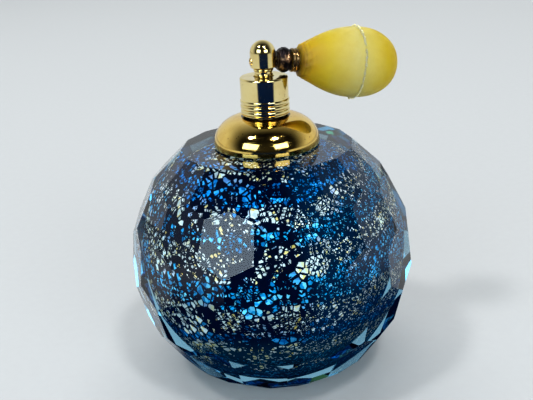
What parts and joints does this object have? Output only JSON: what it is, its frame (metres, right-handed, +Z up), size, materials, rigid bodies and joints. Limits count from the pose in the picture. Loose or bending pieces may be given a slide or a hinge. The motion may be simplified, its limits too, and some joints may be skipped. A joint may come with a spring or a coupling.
{
  "type": "perfume atomiser",
  "caption": "Ball-shaped faceted glass perfume bottle with a foil core, a brass screw collar and spray head, and a drooping rubber squeeze bulb on a side arm.",
  "frame": {"origin": "centre of the flat base, on the bottle's axis", "axes": "+Z up along the bottle's axis, +X towards the squeeze bulb"},
  "size_m": [0.091, 0.091, 0.1098],
  "materials": {
    "crystal": "clear polished crystal, cut in flat facets",
    "foil_glass": "opaque dark blue glass with crackled metal foil in blue, silver and gold bands",
    "cement": "matt cement",
    "polished_brass": "polished, gold coloured",
    "inner_brass": "turned, satin",
    "dark_brass": "tarnished almost black, worn to gold on the high spots",
    "steel": "bright",
    "gasket_rubber": "matt",
    "clear_plastic": "milky tube",
    "pale_plastic": "matt",
    "bulb_rubber": "aged, matt, slightly translucent yellow"
  },
  "bodies": {
    "bottle": {"glass_casing": "crystal", "foil_core": "foil_glass", "glass_neck": "foil_glass", "neck_cement": "cement", "neck_ferrule": "inner_brass", "shoulder_dome": "polished_brass"},
    "gasket": {"seal_gasket": "gasket_rubber"},
    "washer": {"slip_washer": "steel"},
    "collar": {"screw_collar": "polished_brass", "collar_liner": "pale_plastic"},
    "head": {"head_stem": "polished_brass", "tube_bush": "pale_plastic", "dip_tube": "clear_plastic", "spray_head": "polished_brass", "nozzle_insert": "inner_brass", "liquid_jet": "steel", "air_arm": "inner_brass"},
    "arm_washer": {"nut_washer": "dark_brass"},
    "bulb": {"ball_nut": "dark_brass", "valve_retainer": "inner_brass", "bulb_plug": "inner_brass", "bulb_ferrule": "dark_brass", "squeeze_bulb": "bulb_rubber"},
    "valve": {"valve_ball": "steel"}
  },
  "joints": [
    {"name": "head_lift", "type": "slide", "parent": "bottle", "child": "gasket", "axis": [0, 0, 1], "range_m": [0, 0.085]},
    {"name": "collar_rise", "type": "slide", "parent": "gasket", "child": "washer", "axis": [0, 0, 1], "range_m": [0, 0.0045]},
    {"name": "collar_turn", "type": "hinge", "parent": "washer", "child": "collar", "pos_m": [0, 0, 0.0913], "axis": [0, 0, 1], "range_deg": [0, 1080]},
    {"name": "head_swivel", "type": "hinge", "parent": "washer", "child": "head", "pos_m": [0, 0, 0.0952], "axis": [0, 0, 1], "continuous": true},
    {"name": "bulb_draw", "type": "slide", "parent": "head", "child": "arm_washer", "axis": [0.9914, 0, -0.1305], "range_m": [0, 0.0021]},
    {"name": "bulb_unscrew", "type": "hinge", "parent": "arm_washer", "child": "bulb", "pos_m": [0.0037, 0, 0.10185], "axis": [0.9914, 0, -0.1305], "range_deg": [0, 1080]},
    {"name": "bulb_squeeze", "type": "slide", "parent": "bulb", "child": "valve", "axis": [-0.9914, 0, 0.1305], "range_m": [0, 0.0006]}
  ],
  "couplings": [
    {"joint": "collar_rise", "follows": "collar_turn", "m_per_rad": 0.00023873},
    {"joint": "bulb_draw", "follows": "bulb_unscrew", "m_per_rad": 0.00011141}
  ]
}
